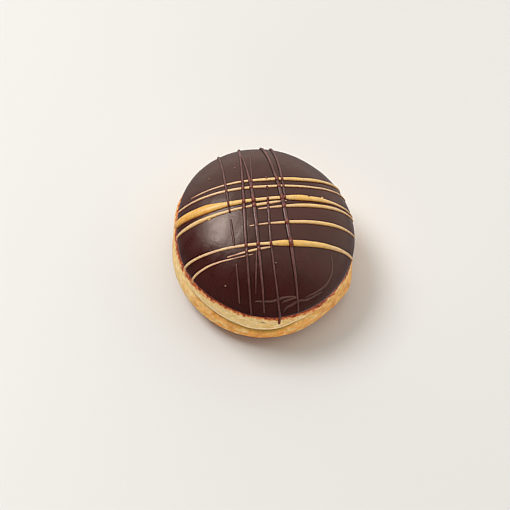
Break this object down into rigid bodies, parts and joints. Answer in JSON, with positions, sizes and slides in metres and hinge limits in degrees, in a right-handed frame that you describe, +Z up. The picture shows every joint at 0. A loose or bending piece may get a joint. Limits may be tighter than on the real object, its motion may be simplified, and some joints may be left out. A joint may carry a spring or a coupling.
{
  "type": "chocolate glazed doughnut",
  "caption": "Round filled doughnut with no hole: golden fried dough, pale band round the middle, glossy chocolate icing cap, caramel and chocolate drizzle crossing over it.",
  "frame": {"origin": "at the level of the flat base, under the middle of the box round the whole doughnut", "axes": "+Z up through the crown, -Y towards the viewer of the picture, +X to the viewer's right; the chocolate drizzle runs roughly along Y and the caramel drizzle roughly along X"},
  "size_m": [0.086, 0.0922, 0.0464],
  "materials": {
    "dough": "soft fried crust, golden below and pale cream round the middle, matt",
    "chocolate_icing": "dark chocolate icing, satin gloss",
    "chocolate_drizzle": "chocolate drizzle, a little lighter and redder than the icing, satin gloss",
    "caramel_drizzle": "pale caramel drizzle, satin gloss"
  },
  "bodies": {
    "root": {"dough": "dough", "chocolate_icing": "chocolate_icing"}
  },
  "joints": []
}
